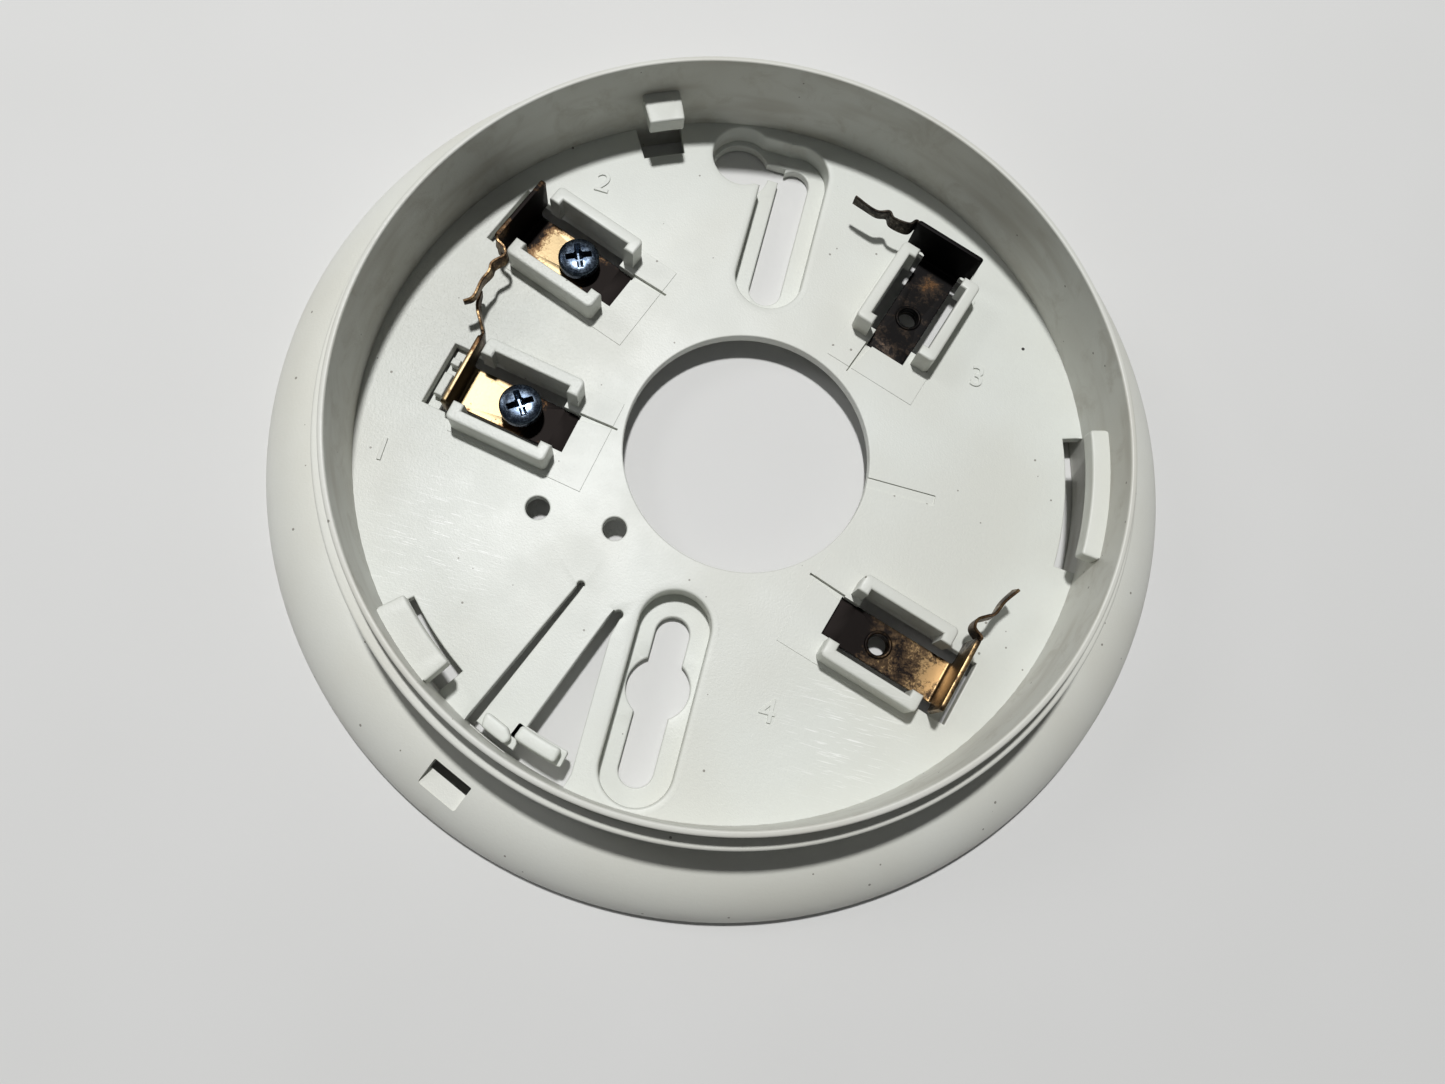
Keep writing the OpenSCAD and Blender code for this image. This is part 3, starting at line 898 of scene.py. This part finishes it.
def cross_cutter(top, turn):
    """One arm of the cross recess, which narrows downwards."""
    bm = bmesh.new()
    for z, reach, wide in ((top - 2.0, 1.3, 0.12), (top + 0.2, 2.5, 0.62)):
        for x, y in ((-reach, -wide), (reach, -wide), (reach, wide), (-reach, wide)):
            bm.verts.new((x * MM, y * MM, z * MM))
    bm.verts.ensure_lookup_table()
    for quad in ((0, 1, 2, 3), (4, 5, 6, 7), (0, 1, 5, 4), (1, 2, 6, 5), (2, 3, 7, 6), (3, 0, 4, 7)):
        bm.faces.new([bm.verts[q] for q in quad])
    return make("cutter", bm, Matrix.Rotation(math.radians(turn), 4, "Z"))


def build_head(top, under):
    """A pan head with a domed top and a cross recess."""
    dome_w, dome_h = 3.05, 0.34
    angles = [math.radians(a) for a in (20, 40, 60, 90)]
    profile = [(dome_w * math.sin(a), top - dome_h * (1 - math.cos(a))) for a in angles]
    profile += arc(head_r - 0.6, top - 0.94, 0.6, 80, 0, 6)
    profile += arc(head_r - 0.2, under + 0.2, 0.2, 0, -90, 3) + [(screw_r, under)]
    bm = bmesh.new()
    add_lathe(bm, [(0, top)] + profile + [(0, under)], 96)
    bmesh.ops.remove_doubles(bm, verts=bm.verts, dist=1e-7)
    head = make("head", bm)
    bm = bmesh.new()
    add_lathe(bm, [(0, top - 2.1), (0.8, top - 1.4), (1.05, top + 0.2), (0, top + 0.2)], 24)
    bmesh.ops.remove_doubles(bm, verts=bm.verts, dist=1e-7)
    carve(head, *[cross_cutter(top, turn) for turn in recess_turns], make("cutter", bm), angle=35)
    return head


def add_threaded_shank(bm, end, shank_top):
    """A shank with a helical thread that fades in at its end."""
    depth, rows, around = 0.26, 10, 48
    levels = int((shank_top - end) / thread_pitch * rows)
    rings = []
    for k in range(levels + 1):
        z = end + (shank_top - end) * k / levels
        lead = min(1.0, (z - end) / 0.6)
        ring = []
        for j in range(around):
            phase = (z / thread_pitch - j / around) % 1
            crest = max(0.0, 1 - abs(2 * phase - 1) * 1.25)
            r = screw_r - depth + depth * crest * lead - 0.25 * (1 - lead)
            a = 2 * math.pi * j / around
            ring.append(bm.verts.new((r * math.cos(a) * MM, r * math.sin(a) * MM, z * MM)))
        rings.append(ring)
    for one, two in zip(rings, rings[1:]):
        for j in range(around):
            bm.faces.new((one[j], one[(j + 1) % around], two[(j + 1) % around], two[j]))
    bm.faces.new(rings[0][::-1])
    bm.faces.new(rings[-1])


def build_screw(i):
    """A terminal screw."""
    node = f"terminal_screw_{i + 1}"
    top, end = high(node).z, low(node).z
    under = top - head_t
    head = build_head(top, under)
    bm = bmesh.new()
    bm.from_mesh(head.data)
    bpy.data.objects.remove(head)
    add_threaded_shank(bm, end, under + 0.3)
    place = Matrix.Translation((term_at[i].x * MM, term_at[i].y * MM, 0))
    turn = Matrix.Rotation(math.radians(term_angle[i]), 4, "Z")
    screw = make(f"pan_screw_{i + 1}", bm, place @ turn, 35)
    finish_piece(screw, f"screw_{i + 1}", screw_zinc, "zinc_steel", node)


# ---- Locking lever ----


def on_root(p, gap=0.3):
    """A point of the arm's outline, moved on to the root line if it is one of its two ends."""
    near = min(lever_root, key=lambda q: math.dist(p, q))
    return near if math.dist(p, near) < gap else p


def build_arm():
    """The lever's arm, which meets the plate at its root."""
    node = "lock_lever"
    z1 = low(node).z
    arm = [[on_root(p) for p in loop] for loop in section(node, plate_cut)]
    bm = bmesh.new()
    add_slab(bm, arm, z1, plate_top, top=plate_edge, bottom=under_edge, most=outline_step,
             sharp=lambda p: near_outline(p, [lever_root]))
    block = [rounded(loop, 0.8) for loop in section(node, plate_top + 0.8)]
    add_slab(bm, block, plate_top - 0.3, high(node).z, top=0.45)
    lever = make("lever_arm", bm)
    finish_piece(lever, None, plate_white, PLASTIC, node)
    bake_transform(lever)


def build_catch():
    """The foot at the free end of the lever."""
    node = "lever_foot"
    foot = [rounded(loop, 0.5) for loop in section(node, foot_cut)]
    block = [rounded(loop, 1.0) for loop in section(node, plate_top + 1.2)]
    bm = bmesh.new()
    add_slab(bm, foot, low(node).z, plate_top, top=plate_edge)
    add_slab(bm, block, plate_top - 0.4, high(node).z, top=0.5)
    finish_piece(make("lever_catch", bm), "lever", plate_white, PLASTIC, node)


build_plate()
for boss in boss_walls:
    build_boss(boss)
build_wall()
build_ring()
for number in (1, 2, 3):
    build_tab(number)
for number in (1, 2, 3, 4):
    build_guard(number)
for text, (x, y) in numerals.items():
    build_numeral(text, x, y)
for terminal in range(4):
    build_contact(terminal)
    build_finger(terminal)
for terminal in range(2):
    build_screw(terminal)
build_arm()
build_catch()

# ---- Floor, light and camera ----

# The photo's camera: place, turns about X, Y and Z in degrees, and lens for a 36 mm sensor
camera_at = (-3.098, -58.788, 166.662)
camera_turn = (13.568, -5.6527, 14.3008)
camera_lens = 24.95
floor_gap = 0.2


def build_stage():
    bm = bmesh.new()
    bmesh.ops.create_grid(bm, x_segments=1, y_segments=1, size=3)
    floor = make("floor", bm)
    floor.location = (0, 0, -floor_gap * MM)
    s = Shader("floor_paper", Roughness=0.9)
    floor.data.materials.append(s.done(s.mix(s.noise(0.02, 2), rgb(214, 214, 212), rgb(219, 219, 218))))


def add_light(name, direction, distance, size, power):
    """A round lamp that shines on the origin, its measures in metres and watts."""
    data = bpy.data.lights.new(name, "AREA")
    data.shape = "DISK"
    data.size = size
    data.energy = power
    lamp = bpy.data.objects.new(name, data)
    bpy.context.scene.collection.objects.link(lamp)
    way = Vector(direction).normalized()
    lamp.location = way * distance
    lamp.rotation_euler = way.to_track_quat("Z", "Y").to_euler()


def build_light():
    add_light("key", (-0.147, 0.30, 1), distance=1.2, size=0.09, power=12.4)
    add_light("fill", (-1, 0.25, 0.8), distance=1.5, size=0.5, power=2.2)
    world = bpy.data.worlds.new("studio")
    world.use_nodes = True
    background = world.node_tree.nodes["Background"]
    background.inputs["Color"].default_value = (0.95, 0.97, 1, 1)
    background.inputs["Strength"].default_value = 0.085
    bpy.context.scene.world = world
    bpy.context.scene.view_settings.view_transform = "Standard"


def build_camera():
    data = bpy.data.cameras.new("camera")
    data.sensor_width = 36
    data.lens = camera_lens
    data.clip_start = 0.005
    camera = bpy.data.objects.new("camera", data)
    bpy.context.scene.collection.objects.link(camera)
    turn = Euler([math.radians(a) for a in camera_turn]).to_matrix().to_4x4()
    camera.matrix_world = Matrix.Translation([c * MM for c in camera_at]) @ turn
    bpy.context.scene.camera = camera


build_stage()
build_light()
build_camera()
